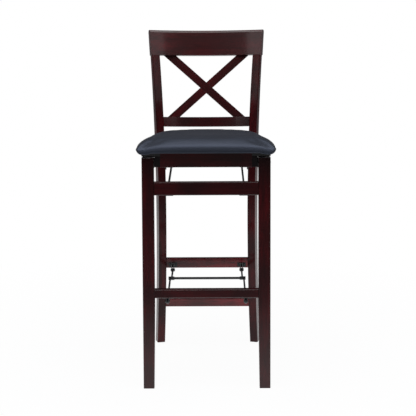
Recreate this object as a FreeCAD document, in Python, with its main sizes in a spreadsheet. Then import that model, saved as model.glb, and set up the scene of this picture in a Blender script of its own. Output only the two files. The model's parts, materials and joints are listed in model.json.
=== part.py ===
import FreeCAD, Part
import math
import os
import Sketcher

# Folding bar stool, millimetres, +X to the right as seen from the front, +Y to the back, +Z up.
# While it is drawn, Y runs from the front feet; at the end the whole stool is centred over the origin.

doc = FreeCAD.newDocument("folding_bar_stool")
sheet = doc.addObject("Spreadsheet::Sheet", "Sizes")

DIMENSIONS = [
    # front frame
    ("front_width", 398),
    ("leg_face", 38),
    ("leg_depth", 25),
    ("leg_lean", 5),
    ("leg_top_above_pivot", 16),
    ("leg_foot_narrowing", 4),
    ("leg_narrowing_height", 240),
    ("edge_round", 3),
    ("upper_stretcher_below_link", 25),
    ("upper_stretcher_height", 41),
    ("upper_stretcher_thick", 20),
    ("footrest_bottom", 286),
    ("footrest_height", 27),
    ("footrest_thick", 24),
    # rear posts: sabre-shaped planks, upright at the waist
    ("post_thick", 26.5),
    ("post_cant", 15),
    ("post_gap_at_waist", 273),
    ("post_setback", 445),
    ("waist_height", 480),
    ("waist_depth", 39),
    ("foot_kick", 42),
    ("foot_depth", 33),
    ("top_kick", 72),
    ("top_depth", 29),
    ("post_chamfer", 2),
    # back
    ("crest_bottom", 994),
    ("crest_height", 84),
    ("crest_thick", 25),
    ("crest_length", 388),
    ("crest_flare", 5),
    ("crest_proud", 1),
    ("crest_round", 9),
    ("back_lean", 12),
    ("back_rail_height", 32),
    ("back_rail_thick", 20),
    ("back_rail_recess", 3),
    ("slat_length", 207),
    ("slat_width", 40),
    ("slat_thick", 11),
    ("slat_top_spread", 122),
    ("slat_foot_spread", 110),
    # rear stretchers
    ("rear_stretcher_thick", 18),
    ("rear_stretcher_recess", 4),
    ("rear_upper_bottom", 273),
    ("rear_upper_height", 34),
    ("rear_lower_bottom", 132),
    ("rear_lower_height", 29),
    # seat
    ("rail_thick", 18),
    ("rail_gap", 1.5),
    ("rail_below_pivot", 14),
    ("rail_height", 34),
    ("rail_overhang", 18),
    ("rail_end_round", 13),
    ("apron_drop", 1),
    ("apron_thick", 18),
    ("board_thick", 10),
    ("board_depth", 352),
    ("board_rear_width", 236),
    ("board_side_bow", 1000),
    ("rear_rail_setback", 22),
    ("rear_rail_lift", 13),
    ("cushion_width", 428),
    ("cushion_depth", 390),
    ("cushion_front", 43),
    ("cushion_thick", 45),
    ("cushion_edge", 9),
    ("cushion_tuck", 7),
    ("cushion_gap", 0.3),
    # pivots in the side view
    ("seat_pivot_back", 408),
    ("seat_pivot_height", 708),
    ("leg_pivot_back", 77),
    ("leg_pivot_drop", 2),
    ("link_drop", 74),
    ("link_setback", 8),
    ("spreader_rear_forward", 3),
    ("spreader_rear_drop", 3),
    ("spreader_front_back", 40),
    ("spreader_front_drop", 13),
    ("spreader_joint_back", 328),
    ("spreader_joint_lift", 0.5),
    # steel
    ("pin_diameter", 6),
    ("pin_clearance", 0.08),
    ("strap_width", 12),
    ("strap_thick", 5),
    ("strap_gap", 0.3),
    ("strap_line", 117),
    ("eye_play", 2.3),
    ("eye_wall", 3.5),
    ("plate_thick", 4),
    ("plate_bend", 6),
    ("plate_reach", 34),
    ("plate_screw_inset", 12),
    ("plate_lift", 6),
    ("plate_top_drop", 4),
    ("bracket_width", 28.5),
    ("bracket_height", 14),
    ("ear_thick", 2.5),
    ("ear_reach", 6),
    ("ear_chamfer", 3),
    ("link_bracket_drop", 5),
    ("link_bracket_height", 20),
    ("collar_length", 6),
    ("rod_diameter", 8),
    ("screw_diameter", 4),
    ("screw_length", 14),
    ("screw_end_gap", 0.5),
    ("head_inset", 0.5),
    ("head_diameter", 8),
    ("head_height", 2),
    ("pin_head_diameter", 9),
    ("nut_wall", 2.5),
    ("collar_wall", 2),
    ("bolt_head_diameter", 13),
    ("bolt_head_height", 3),
    ("bolt_head_sunk", 1),
]

for row, (alias, number) in enumerate(DIMENSIONS, start=1):
    sheet.set(f"A{row}", alias)
    sheet.set(f"B{row}", str(number))
    sheet.setAlias(f"B{row}", alias)
doc.recompute()


def value(expression):
    """The number that an expression over the sheet comes to."""
    found = sheet.evalExpression(str(expression))
    return float(getattr(found, "Value", found))


# Lines and points that several pieces share, written once over the sheet.
LEG_PIVOT_HEIGHT = "(Sizes.seat_pivot_height - Sizes.leg_pivot_drop)"
LEG_HEIGHT = f"({LEG_PIVOT_HEIGHT} + Sizes.leg_top_above_pivot)"
HALF_WIDTH = "(Sizes.front_width / 2)"
LEG_INSIDE = "(Sizes.front_width / 2 - Sizes.leg_face)"
LEAN = "tan(Sizes.leg_lean)"
LEG_RUN = "(Sizes.leg_depth / cos(Sizes.leg_lean))"
WAIST_X = "(Sizes.post_gap_at_waist / 2)"
CANT = "tan(Sizes.post_cant)"
RAIL_OUTSIDE = f"({LEG_INSIDE} - Sizes.rail_gap)"
RAIL_INSIDE = f"({RAIL_OUTSIDE} - Sizes.rail_thick)"
RAIL_BOTTOM = "(Sizes.seat_pivot_height - Sizes.rail_below_pivot)"
RAIL_TOP = f"({RAIL_BOTTOM} + Sizes.rail_height)"
BOARD_TOP = f"({RAIL_TOP} + Sizes.board_thick)"
APRON_FRONT = f"((Sizes.leg_pivot_back - {LEG_RUN} / 2))"
PIN_RADIUS = "(Sizes.pin_diameter / 2)"
HOLE_RADIUS = "(Sizes.pin_diameter / 2 + Sizes.pin_clearance)"
LINK_REAR_BACK = "(Sizes.seat_pivot_back + Sizes.link_setback)"
LINK_REAR_HEIGHT = "(Sizes.seat_pivot_height - Sizes.link_drop)"
LINK_FRONT_BACK = "(Sizes.leg_pivot_back + Sizes.link_setback)"
LINK_FRONT_HEIGHT = f"({LEG_PIVOT_HEIGHT} - Sizes.link_drop)"
UPPER_STRETCHER_BOTTOM = f"({LINK_FRONT_HEIGHT} - Sizes.upper_stretcher_below_link)"
STRAP_INSIDE = "(Sizes.strap_line - Sizes.strap_thick / 2)"
STRAP_OUTSIDE = "(Sizes.strap_line + Sizes.strap_thick / 2)"

# How far a cutting tool reaches past what it cuts.
SPARE = 1


def kick_radius(kick, rise):
    """Radius of an arc that starts upright and has moved over by kick after rise."""
    return f"(({rise}) * ({rise}) + ({kick}) * ({kick})) / (2 * ({kick}))"


def post_front(height):
    """How far behind the waist, along the plank, a post's front edge is at a height above the waist."""
    rise = value(f"({height}) - Sizes.waist_height")
    if rise > 0:
        radius = value(kick_radius("Sizes.top_kick", "Sizes.crest_bottom - Sizes.waist_height"))
    else:
        radius = value(kick_radius("Sizes.foot_kick", "Sizes.waist_height"))
    return radius - math.sqrt(radius * radius - rise * rise)


def post_face(height):
    """Y of a post's front inner corner at a height."""
    return value("Sizes.post_setback") + post_front(height) * math.cos(math.radians(value("Sizes.post_cant")))


def plane_of(body, role):
    return next(plane for plane in body.Origin.OriginFeatures if plane.Role == role)


def new_body(label):
    body = doc.addObject("PartDesign::Body", label)
    body.Label = label
    return body


def new_sketch(body, role, offset="0"):
    sketch = body.newObject("Sketcher::SketchObject", body.Name + "_sketch")
    sketch.AttachmentSupport = [(plane_of(body, role), "")]
    sketch.MapMode = "FlatFace"
    sketch.setExpression("AttachmentOffset.Base.z", offset)
    return sketch


def fix_point(sketch, geometry, corner, x, y):
    """Holds a sketch point at (x, y), both expressions."""
    for kind, place in (("DistanceX", x), ("DistanceY", y)):
        index = sketch.addConstraint(Sketcher.Constraint(kind, -1, 1, geometry, corner, value(place)))
        sketch.setExpression(f"Constraints[{index}]", str(place))


def outline(sketch, points):
    """A closed outline through (x, y) expressions; (x, y, radius) starts an arc to the next point, bulging
    to the right of the way along for a positive radius and to the left for a negative one."""
    first = sketch.GeometryCount
    spots = [FreeCAD.Vector(value(point[0]), value(point[1]), 0) for point in points]
    for index, point in enumerate(points):
        start = spots[index]
        end = spots[(index + 1) % len(points)]
        if len(point) == 2:
            sketch.addGeometry(Part.LineSegment(start, end), False)
            continue
        radius = value(point[2])
        along = end - start
        right = FreeCAD.Vector(along.y, -along.x, 0).normalize()
        side = 1 if radius > 0 else -1
        hub = (start + end) * 0.5 - right * (side * math.sqrt(radius * radius - (along.Length / 2) ** 2))
        first_end, last_end = (start, end) if side > 0 else (end, start)
        angles = [math.atan2(spot.y - hub.y, spot.x - hub.x) for spot in (first_end, last_end)]
        round_whole = Part.Circle(hub, FreeCAD.Vector(0, 0, 1), abs(radius))
        sketch.addGeometry(Part.ArcOfCircle(round_whole, *angles), False)
    for index, point in enumerate(points):
        here = first + index
        after = first + (index + 1) % len(points)
        backwards = len(point) == 3 and value(point[2]) < 0
        following = points[(index + 1) % len(points)]
        ahead = 2 if len(following) == 3 and value(following[2]) < 0 else 1
        sketch.addConstraint(Sketcher.Constraint("Coincident", here, 1 if backwards else 2, after, ahead))
        fix_point(sketch, here, 2 if backwards else 1, point[0], point[1])
        if len(point) == 3:
            radius = sketch.addConstraint(Sketcher.Constraint("Radius", here, abs(value(point[2]))))
            sketch.setExpression(f"Constraints[{radius}]", f"abs({point[2]})")


def circle(sketch, x, y, radius):
    here = sketch.addGeometry(
        Part.Circle(FreeCAD.Vector(value(x), value(y), 0), FreeCAD.Vector(0, 0, 1), value(radius)), False
    )
    fix_point(sketch, here, 3, x, y)
    index = sketch.addConstraint(Sketcher.Constraint("Radius", here, value(radius)))
    sketch.setExpression(f"Constraints[{index}]", str(radius))


def pad(body, sketch, length):
    feature = body.newObject("PartDesign::Pad", body.Name + "_pad")
    feature.Profile = sketch
    feature.setExpression("Length", str(length))
    sketch.Visibility = False
    doc.recompute()
    return feature


def cut_through(body, sketch):
    """A pocket right through the body, both ways from its sketch."""
    before = body.Shape.Volume
    feature = body.newObject("PartDesign::Pocket", body.Name + "_pocket")
    feature.Profile = sketch
    feature.SideType = "Symmetric"
    feature.Type = "ThroughAll"
    doc.recompute()
    if body.Shape.Volume >= before:
        raise RuntimeError(f"{body.Label}: a pocket cut nothing")
    return feature


def round_edges(body, size, wanted):
    """Rounds the edges of the body's solid that a test picks."""
    solid = body.Shape
    names = [f"Edge{number}" for number, edge in enumerate(solid.Edges, start=1) if wanted(edge)]
    base = body.Tip
    feature = body.newObject("PartDesign::Fillet", body.Name + "_fillet")
    feature.Base = (base, names)
    feature.setExpression("Radius", size)
    doc.recompute()
    return feature


def chamfer_edges(body, size, wanted):
    """Takes the corner off the edges of the body's solid that a test picks."""
    solid = body.Shape
    names = [f"Edge{number}" for number, edge in enumerate(solid.Edges, start=1) if wanted(edge)]
    base = body.Tip
    feature = body.newObject("PartDesign::Chamfer", body.Name + "_chamfer")
    feature.Base = (base, names)
    feature.setExpression("Size", size)
    doc.recompute()
    return feature


def direction(edge):
    """Unit direction from one end of an edge to the other."""
    ends = [vertex.Point for vertex in edge.Vertexes]
    return (ends[-1] - ends[0]).normalize() if len(ends) == 2 else FreeCAD.Vector()


def side_plate(label, x_from, width, points, holes=()):
    """A piece with one outline in the side view, width wide from x_from, with holes (y, z, radius)."""
    body = new_body(label)
    sketch = new_sketch(body, "YZ_Plane", x_from)
    outline(sketch, points)
    pad(body, sketch, width)
    for y, z, radius in holes:
        bore = new_sketch(body, "YZ_Plane", x_from)
        circle(bore, y, z, radius)
        cut_through(body, bore)
    return body


def plan_plate(label, bottom, height, points):
    """A piece with one outline in the plan view, height tall from bottom."""
    body = new_body(label)
    sketch = new_sketch(body, "XY_Plane", bottom)
    outline(sketch, points)
    pad(body, sketch, height)
    return body


def common(label, base, tool):
    piece = doc.addObject("Part::Common", label)
    piece.Label = label
    piece.Base = base
    piece.Tool = tool
    doc.recompute()
    return piece


def cut(label, base, tool):
    piece = doc.addObject("Part::Cut", label)
    piece.Label = label
    piece.Base = base
    piece.Tool = tool
    doc.recompute()
    return piece


def group(label, pieces):
    """Like pieces that share one node, each a solid of its own."""
    piece = doc.addObject("Part::Compound", label)
    piece.Label = label
    piece.Links = pieces
    doc.recompute()
    return piece


ROUND = 0
SIX = 6
TWELVE = 12


def rod(label, start, along, length, radius, sides):
    """A round rod, or one of a number of sides, from start along a vector."""
    piece = doc.addObject("Part::Prism" if sides else "Part::Cylinder", label)
    if sides:
        piece.Polygon = sides
    piece.setExpression("Circumradius" if sides else "Radius", str(radius))
    piece.setExpression("Height", str(length))
    place_along(piece, start, along)
    return piece


def drilled(label, piece, bores):
    """A piece with bores, each (start, along, length, radius, sides)."""
    bore_set = doc.addObject("Part::Compound", label + "_bores")
    bore_set.Links = [rod(f"{label}_bore_{number}", *bore) for number, bore in enumerate(bores)]
    return cut(label, piece, bore_set)


def place_along(piece, start, along):
    """Stands a piece drawn up +Z at start, a triple of expressions, so that it points along a vector."""
    turn = FreeCAD.Rotation(FreeCAD.Vector(0, 0, 1), FreeCAD.Vector(*along))
    piece.Placement = FreeCAD.Placement(FreeCAD.Vector(0, 0, 0), turn)
    for axis, place in zip("xyz", start):
        piece.setExpression("Placement.Base." + axis, str(place))


def stepped(label, start, along, steps):
    """A pin, screw, sleeve or nut: steps are (length, radius, sides) from start on."""
    pieces = []
    reach = "0"
    for number, (length, radius, sides) in enumerate(steps):
        spot = [f"({place}) + ({step}) * {reach}" for place, step in zip(start, along)]
        pieces.append(rod(f"{label}_{number}", spot, along, length, radius, sides))
        reach = f"({reach} + {length})"
    whole = doc.addObject("Part::MultiFuse", label)
    whole.Label = label
    whole.Shapes = pieces
    whole.Refine = True
    doc.recompute()
    return whole


nodes = []


def keep(*pieces):
    nodes.extend(pieces)


# Front legs: straight, leaning, one width to the footrest and then narrowing on the inner edge.
SIDES = [("left", -1), ("right", 1)]


def front_leg(name, side):
    inner = f"({side} * {LEG_INSIDE})"
    start = LEG_INSIDE if side > 0 else f"(0 - {HALF_WIDTH})"
    top_shift = f"({LEG_HEIGHT} * {LEAN})"
    body = side_plate(
        f"front_leg_{name}_blank",
        start,
        "Sizes.leg_face",
        [
            ("0", "0"),
            (LEG_RUN, "0"),
            (f"{LEG_RUN} + {top_shift}", LEG_HEIGHT),
            (top_shift, LEG_HEIGHT),
        ],
    )
    taper = new_sketch(body, "XZ_Plane")
    outline(
        taper,
        [
            (inner, "Sizes.leg_narrowing_height"),
            (f"{inner} - {side} * {SPARE}", "Sizes.leg_narrowing_height"),
            (f"{inner} - {side} * {SPARE}", f"0 - {SPARE}"),
            (f"{inner} + {side} * Sizes.leg_foot_narrowing", f"0 - {SPARE}"),
            (f"{inner} + {side} * Sizes.leg_foot_narrowing", "0"),
        ],
    )
    cut_through(body, taper)
    tall = value("Sizes.leg_narrowing_height") * 0.75
    round_edges(body, "Sizes.edge_round", lambda edge: edge.Length > tall and direction(edge).z ** 2 > 0.8)
    outside = f"({side} * {HALF_WIDTH})"
    inwards = (-side, 0, 0)
    spot = (outside, "Sizes.leg_pivot_back", LEG_PIVOT_HEIGHT)
    return drilled(
        f"front_leg_{name}",
        body,
        [
            (spot, inwards, f"Sizes.leg_face + {SPARE}", PIN_RADIUS, TWELVE),
            (
                spot,
                inwards,
                "Sizes.bolt_head_height + Sizes.bolt_head_sunk",
                "Sizes.bolt_head_diameter / 2 + Sizes.screw_end_gap",
                TWELVE,
            ),
        ],
    )


for name, side in SIDES:
    keep(front_leg(name, side))


# Cross rails of the front frame, flush with the leaning front faces of the legs.
def front_rail(label, bottom, height, thick):
    run = f"({thick} / cos(Sizes.leg_lean))"
    top = f"({bottom} + {height})"
    body = side_plate(
        label,
        f"0 - {LEG_INSIDE}",
        f"2 * {LEG_INSIDE}",
        [
            (f"{bottom} * {LEAN}", bottom),
            (f"{bottom} * {LEAN} + {run}", bottom),
            (f"{top} * {LEAN} + {run}", top),
            (f"{top} * {LEAN}", top),
        ],
    )
    round_edges(body, "Sizes.edge_round", lambda edge: abs(direction(edge).x) > 0.99)
    return body


upper_stretcher = front_rail(
    "front_upper_stretcher_board",
    UPPER_STRETCHER_BOTTOM,
    "Sizes.upper_stretcher_height",
    "Sizes.upper_stretcher_thick",
)
footrest = front_rail(
    "footrest_board",
    "Sizes.footrest_bottom",
    "Sizes.footrest_height",
    "Sizes.footrest_thick",
)


# The back leans as one plane: crest, slats and lower rail are drawn upright and then tipped together
# about a line at the height of the crest's lower edge.
BACK_LINE = post_face("Sizes.crest_bottom")


def lean_back(piece):
    turn = FreeCAD.Rotation(FreeCAD.Vector(1, 0, 0), -value("Sizes.back_lean"))
    spot = FreeCAD.Vector(0, BACK_LINE, value("Sizes.crest_bottom"))
    piece.Placement = FreeCAD.Placement(spot, turn).multiply(piece.Placement)
    return piece


# Rear posts: sabre planks, upright at the waist, kicked back to the foot and to the top, and canted.
TOP_RISE = "(Sizes.crest_bottom - Sizes.waist_height)"
TOP_FRONT_RADIUS = kick_radius("Sizes.top_kick", TOP_RISE)
TOP_REAR_RADIUS = kick_radius("(Sizes.top_kick + Sizes.top_depth - Sizes.waist_depth)", TOP_RISE)
FOOT_REAR_RADIUS = kick_radius(
    "(Sizes.foot_kick + Sizes.foot_depth - Sizes.waist_depth)", "Sizes.waist_height"
)


def kick_at(radius, rise):
    """How far an upright-starting arc of a radius has moved over after a rise."""
    return f"({radius} - sqrt(({radius}) * ({radius}) - ({rise}) * ({rise})))"


def rear_post(name, side):
    body = new_body(f"rear_post_{name}_plank")
    sketch = new_sketch(body, "YZ_Plane", "0" if side > 0 else "0 - Sizes.post_thick")
    over = "(Sizes.crest_bottom + Sizes.post_thick / 2)"
    rise = f"({over} - Sizes.waist_height)"
    outline(
        sketch,
        [
            ("Sizes.foot_kick", "0"),
            ("Sizes.foot_kick + Sizes.foot_depth", "0", f"0 - {FOOT_REAR_RADIUS}"),
            ("Sizes.waist_depth", "Sizes.waist_height", f"0 - {TOP_REAR_RADIUS}"),
            (f"Sizes.waist_depth + {kick_at(TOP_REAR_RADIUS, rise)}", over),
            (kick_at(TOP_FRONT_RADIUS, rise), over, TOP_FRONT_RADIUS),
            ("0", "Sizes.waist_height", kick_radius("Sizes.foot_kick", "Sizes.waist_height")),
        ],
    )
    pad(body, sketch, "Sizes.post_thick")
    tall = value("Sizes.waist_height") * 0.5
    chamfer_edges(body, "Sizes.post_chamfer", lambda edge: edge.Length > tall)
    body.Placement = FreeCAD.Placement(
        FreeCAD.Vector(side * value(WAIST_X), value("Sizes.post_setback"), 0),
        FreeCAD.Rotation(FreeCAD.Vector(0, 0, 1), -side * value("Sizes.post_cant")),
    )
    above = doc.addObject("Part::Box", f"above_post_{name}")
    above.setExpression("Length", "Sizes.crest_length * 2")
    above.setExpression("Width", "Sizes.crest_length")
    above.setExpression("Height", "Sizes.crest_height")
    reach = value("Sizes.crest_length")
    above.Placement = FreeCAD.Placement(FreeCAD.Vector(-reach, -reach / 2, 0), FreeCAD.Rotation())
    lean_back(above)
    return cut(f"rear_post_{name}_board", body, above)


posts = {name: rear_post(name, side) for name, side in SIDES}


# Curved rails of the back: bent boards whose ends meet the canted posts squarely. They are drawn longer
# than they end up, by a share of their length and at most so much of their radius, and then trimmed.
BOARD_SPARE = 1.12
BOARD_LIMIT = 0.9


def bent_board(label, half_length, thick, bottom, height, front):
    """A board bent to an arc, hollow side to the front, whose front face is front behind the back line at
    half_length out."""
    half = value(half_length)
    cant = math.radians(value("Sizes.post_cant"))
    radius = half / math.sin(cant)
    wide = min(half * BOARD_SPARE, radius * BOARD_LIMIT)
    centre = f"({front} - ({half_length}) / tan(Sizes.post_cant))"
    inner = f"(({half_length}) / sin(Sizes.post_cant))"
    outer = f"({inner} + {thick})"
    edge = f"({wide / half} * ({half_length}))"
    body = new_body(label)
    sketch = new_sketch(body, "XY_Plane", bottom)
    near = f"({centre} + sqrt({inner} * {inner} - {edge} * {edge}))"
    far = f"({centre} + sqrt({outer} * {outer} - {edge} * {edge}))"
    outline(
        sketch,
        [
            (f"0 - {edge}", near),
            (f"0 - {edge}", far, f"0 - {outer}"),
            (edge, far),
            (edge, near, inner),
        ],
    )
    pad(body, sketch, height)
    return body


CREST_HALF = "(Sizes.crest_length / 2)"
CREST_BEND = f"({CREST_HALF} / sin(Sizes.post_cant))"
POST_TOP_X = value(WAIST_X) + value("Sizes.top_kick") * math.sin(math.radians(value("Sizes.post_cant")))


def arc_drop(bend, out, further):
    """How much further forward a board bent to a radius is at one distance out than at another."""
    bend, out, further = value(bend), value(out), value(further)
    return math.sqrt(bend * bend - out * out) - math.sqrt(bend * bend - further * further)


CREST_FRONT = -arc_drop(CREST_BEND, POST_TOP_X, CREST_HALF) - value("Sizes.crest_proud")


def crest_rail():
    board = bent_board("crest_board", CREST_HALF, "Sizes.crest_thick", "0", "Sizes.crest_height", CREST_FRONT)
    height = value("Sizes.crest_height")
    round_edges(
        board, "Sizes.crest_round", lambda edge: edge.Length > height and edge.BoundBox.ZMin > height / 2
    )
    ends = []
    slant = math.degrees(math.atan2(value("Sizes.crest_flare"), height))
    rear = CREST_FRONT + value("Sizes.crest_thick * cos(Sizes.post_cant)")
    for name, side in SIDES:
        end = doc.addObject("Part::Box", f"crest_end_{name}")
        for size in ("Length", "Width", "Height"):
            end.setExpression(size, "Sizes.crest_length")
        turn = FreeCAD.Rotation(FreeCAD.Vector(0, 0, 1), -side * value("Sizes.post_cant"))
        turn = turn.multiply(FreeCAD.Rotation(FreeCAD.Vector(0, 1, 0), side * slant))
        reach = value("Sizes.crest_length")
        back = FreeCAD.Vector(0 if side > 0 else -reach, -reach / 2, -reach / 2)
        corner = FreeCAD.Vector(side * value(CREST_HALF), rear, height)
        end.Placement = FreeCAD.Placement(corner + turn.multVec(back), turn)
        ends.append(end)
    for end in ends:
        board = cut(f"{end.Name}_cut", board, end)
    board.Label = "crest_rail"
    return lean_back(board)


keep(crest_rail())


def between_posts(label, bottom, height):
    """The space between the inner faces of the posts, as a solid to trim rails with."""
    front = "(Sizes.post_setback - Sizes.waist_depth)"
    back = "(Sizes.post_setback + 2 * Sizes.waist_depth + Sizes.top_kick)"
    near = f"({WAIST_X} + ({front} - Sizes.post_setback) * {CANT})"
    far = f"({WAIST_X} + ({back} - Sizes.post_setback) * {CANT})"
    return plan_plate(
        label,
        bottom,
        height,
        [(f"0 - {near}", front), (near, front), (far, back), (f"0 - {far}", back)],
    )


RAIL_DROP = "(Sizes.slat_length + Sizes.back_rail_height)"
BACK_LEAN = math.radians(value("Sizes.back_lean"))
RAIL_LOW = value(f"Sizes.crest_bottom - {RAIL_DROP} * cos(Sizes.back_lean)")
BACK_RAIL_HALF = value(WAIST_X) + post_front(RAIL_LOW) * math.sin(math.radians(value("Sizes.post_cant")))
BACK_RAIL_FRONT = post_face(RAIL_LOW) - BACK_LINE + value(RAIL_DROP) * math.sin(BACK_LEAN) + value(
    "Sizes.back_rail_recess"
)


def lower_back_rail():
    board = bent_board(
        "lower_back_board",
        BACK_RAIL_HALF,
        "Sizes.back_rail_thick",
        f"0 - {RAIL_DROP}",
        "Sizes.back_rail_height",
        BACK_RAIL_FRONT,
    )
    lean_back(board)
    return common("lower_back_rail", board, between_posts("back_rail_trim", "0", "Sizes.crest_bottom"))


keep(lower_back_rail())

# Back slats: two straight boards halved into each other; the one from upper left to lower right is whole
# on the front face. Their ends stand flat on the rails, within the thickness of both bent boards.
SLAT_FRONT = BACK_RAIL_FRONT + arc_drop(
    BACK_RAIL_HALF / math.sin(math.radians(value("Sizes.post_cant"))),
    "Sizes.slat_foot_spread - Sizes.slat_width / 2",
    BACK_RAIL_HALF,
)


def slat_board(label, lean_way, start, thick):
    """A slat drawn upright: lean_way 1 goes from upper left to lower right; start and thick are its depth."""
    body = new_body(label)
    sketch = new_sketch(body, "XZ_Plane", f"0 - ({start}) - ({thick})")
    top = f"(0 - {lean_way} * Sizes.slat_top_spread)"
    low = f"({lean_way} * Sizes.slat_foot_spread)"
    half = "Sizes.slat_width / 2"
    outline(
        sketch,
        [
            (f"{top} - {half}", "0"),
            (f"{low} - {half}", "0 - Sizes.slat_length"),
            (f"{low} + {half}", "0 - Sizes.slat_length"),
            (f"{top} + {half}", "0"),
        ],
    )
    pad(body, sketch, thick)
    return body


def back_slat(label, lean_way, notch_start):
    whole = slat_board(label + "_board", lean_way, SLAT_FRONT, "Sizes.slat_thick")
    notch = slat_board(label + "_notch", -lean_way, notch_start, "Sizes.slat_thick / 2")
    return lean_back(cut(label, whole, notch))


keep(
    back_slat("back_slat_front", 1, f"{SLAT_FRONT} + Sizes.slat_thick / 2"),
    back_slat("back_slat_back", -1, SLAT_FRONT),
)


# Straight stretchers between the rear posts, trimmed to the canted faces.
def stretcher_face(bottom, height):
    """Y of a rear stretcher's front face."""
    return post_face(f"{bottom} + {height} / 2") + value("Sizes.rear_stretcher_recess")


def rear_stretcher(label, bottom, height):
    face = stretcher_face(bottom, height)
    half = f"({WAIST_X} + Sizes.post_thick)"
    body = side_plate(
        label + "_board",
        f"0 - {half}",
        f"2 * {half}",
        [
            (face, bottom),
            (f"{face} + Sizes.rear_stretcher_thick", bottom),
            (f"{face} + Sizes.rear_stretcher_thick", f"{bottom} + {height}"),
            (face, f"{bottom} + {height}"),
        ],
    )
    round_edges(body, "Sizes.edge_round", lambda edge: abs(direction(edge).x) > 0.99)
    return common(label, body, between_posts(label + "_trim", "0", "Sizes.waist_height"))


REAR_UPPER_FACE = stretcher_face("Sizes.rear_upper_bottom", "Sizes.rear_upper_height")
keep(rear_stretcher("rear_lower_stretcher", "Sizes.rear_lower_bottom", "Sizes.rear_lower_height"))
rear_upper = rear_stretcher("rear_upper_blank", "Sizes.rear_upper_bottom", "Sizes.rear_upper_height")


# Screws: a head on the steel and a shank, drawn six-sided, in a bore of the wood.
def screw(label, start, along):
    """start is the face of the steel that the head bears on."""
    backed = [f"({place}) - ({step}) * Sizes.head_height" for place, step in zip(start, along)]
    return stepped(
        label,
        backed,
        along,
        [
            ("Sizes.head_height", "Sizes.head_diameter / 2", TWELVE),
            ("Sizes.screw_length", "Sizes.screw_diameter / 2", SIX),
        ],
    )


def screw_bore(start, along):
    depth = "Sizes.screw_length + Sizes.screw_end_gap"
    return (start, along, depth, "Sizes.screw_diameter / 2", SIX)


# Clevis brackets: a small plate screwed to the wood, and two ears that hold a pin.
def clevis(label, line, plate, ears):
    """line is the X that it is centred on; plate and ears are outlines in the side view."""
    body = new_body(label)
    base = new_sketch(body, "YZ_Plane", f"{line} - Sizes.bracket_width / 2")
    outline(base, plate)
    pad(body, base, "Sizes.bracket_width")
    inside = "(Sizes.strap_thick / 2 + Sizes.strap_gap)"
    for offset in (f"{line} - {inside} - Sizes.ear_thick", f"{line} + {inside}"):
        ear = new_sketch(body, "YZ_Plane", offset)
        outline(ear, ears)
        pad(body, ear, "Sizes.ear_thick")
    return body


def neck_bore(side, reach, pivot, depth):
    """The twelve-sided hole that keeps a pin from turning, from reach out inwards over a depth."""
    return ((f"{side} * ({reach})", *pivot), (-side, 0, 0), depth, PIN_RADIUS, TWELVE)


def clevis_pin(label, line, pivot):
    between = "(Sizes.strap_thick + 2 * Sizes.strap_gap)"
    head = ("Sizes.head_height", "Sizes.pin_head_diameter / 2", TWELVE)
    neck = ("Sizes.ear_thick", PIN_RADIUS, TWELVE)
    return stepped(
        label,
        (f"{line} - {between} / 2 - Sizes.ear_thick - Sizes.head_height", *pivot),
        (1, 0, 0),
        [head, neck, (between, PIN_RADIUS, ROUND), neck, head],
    )


SPREADER_REAR = (
    "(Sizes.post_setback - Sizes.spreader_rear_forward)",
    "(Sizes.rear_upper_bottom - Sizes.spreader_rear_drop)",
)
SPREADER_FRONT = ("Sizes.spreader_front_back", "(Sizes.footrest_bottom - Sizes.spreader_front_drop)")
SPREADER_JOINT = ("Sizes.spreader_joint_back", f"({SPREADER_REAR[1]} + Sizes.spreader_joint_lift)")
LINK_REAR = (LINK_REAR_BACK, LINK_REAR_HEIGHT)
LINK_FRONT = (LINK_FRONT_BACK, LINK_FRONT_HEIGHT)
FRONT_ARM_LINE = "(Sizes.strap_line + Sizes.strap_thick + Sizes.strap_gap)"
SCREW_SPREAD = "(Sizes.bracket_width / 2 - Sizes.head_diameter / 2 - Sizes.head_inset)"


REACH = "Sizes.ear_reach"
CHAMFER = "Sizes.ear_chamfer"


def line_at(side, line):
    return f"({side} * {line})"


def rear_bracket(name, side):
    """Clevis on the front face of the rear upper stretcher; its ears reach forward and down."""
    y, z = SPREADER_REAR
    face = REAR_UPPER_FACE
    middle = f"({z} + Sizes.bracket_height)"
    half = "Sizes.bracket_height / 2"
    line = line_at(side, "Sizes.strap_line")
    return clevis(
        f"spreader_rear_bracket_{name}",
        line,
        [
            (face, f"{middle} - {half}"),
            (face, f"{middle} + {half}"),
            (f"{face} - Sizes.ear_thick", f"{middle} + {half}"),
            (f"{face} - Sizes.ear_thick", f"{middle} - {half}"),
        ],
        [
            (face, f"{middle} - {half}"),
            (face, f"{middle} + {half}"),
            (f"{face} - Sizes.ear_thick", f"{middle} + {half}"),
            (f"{y} - {REACH}", f"{z} + {CHAMFER}"),
            (f"{y} - {REACH}", f"{z} - {CHAMFER}"),
            (f"{y} - {CHAMFER}", f"{z} - {REACH}"),
            (f"{y} + {CHAMFER}", f"{z} - {REACH}"),
        ],
    )


def footrest_bracket(name, side):
    """Clevis under the footrest rail; its ears hang down."""
    y, z = SPREADER_FRONT
    top = "Sizes.footrest_bottom"
    half = "Sizes.bracket_height / 2"
    return clevis(
        f"spreader_front_bracket_{name}",
        line_at(side, FRONT_ARM_LINE),
        [
            (f"{y} - {half}", top),
            (f"{y} + {half}", top),
            (f"{y} + {half}", f"{top} - Sizes.ear_thick"),
            (f"{y} - {half}", f"{top} - Sizes.ear_thick"),
        ],
        [
            (f"{y} - {half}", top),
            (f"{y} + {half}", top),
            (f"{y} + {REACH}", f"{z} - {CHAMFER}"),
            (f"{y} + {CHAMFER}", f"{z} - {REACH}"),
            (f"{y} - {CHAMFER}", f"{z} - {REACH}"),
            (f"{y} - {REACH}", f"{z} - {CHAMFER}"),
        ],
    )


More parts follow.
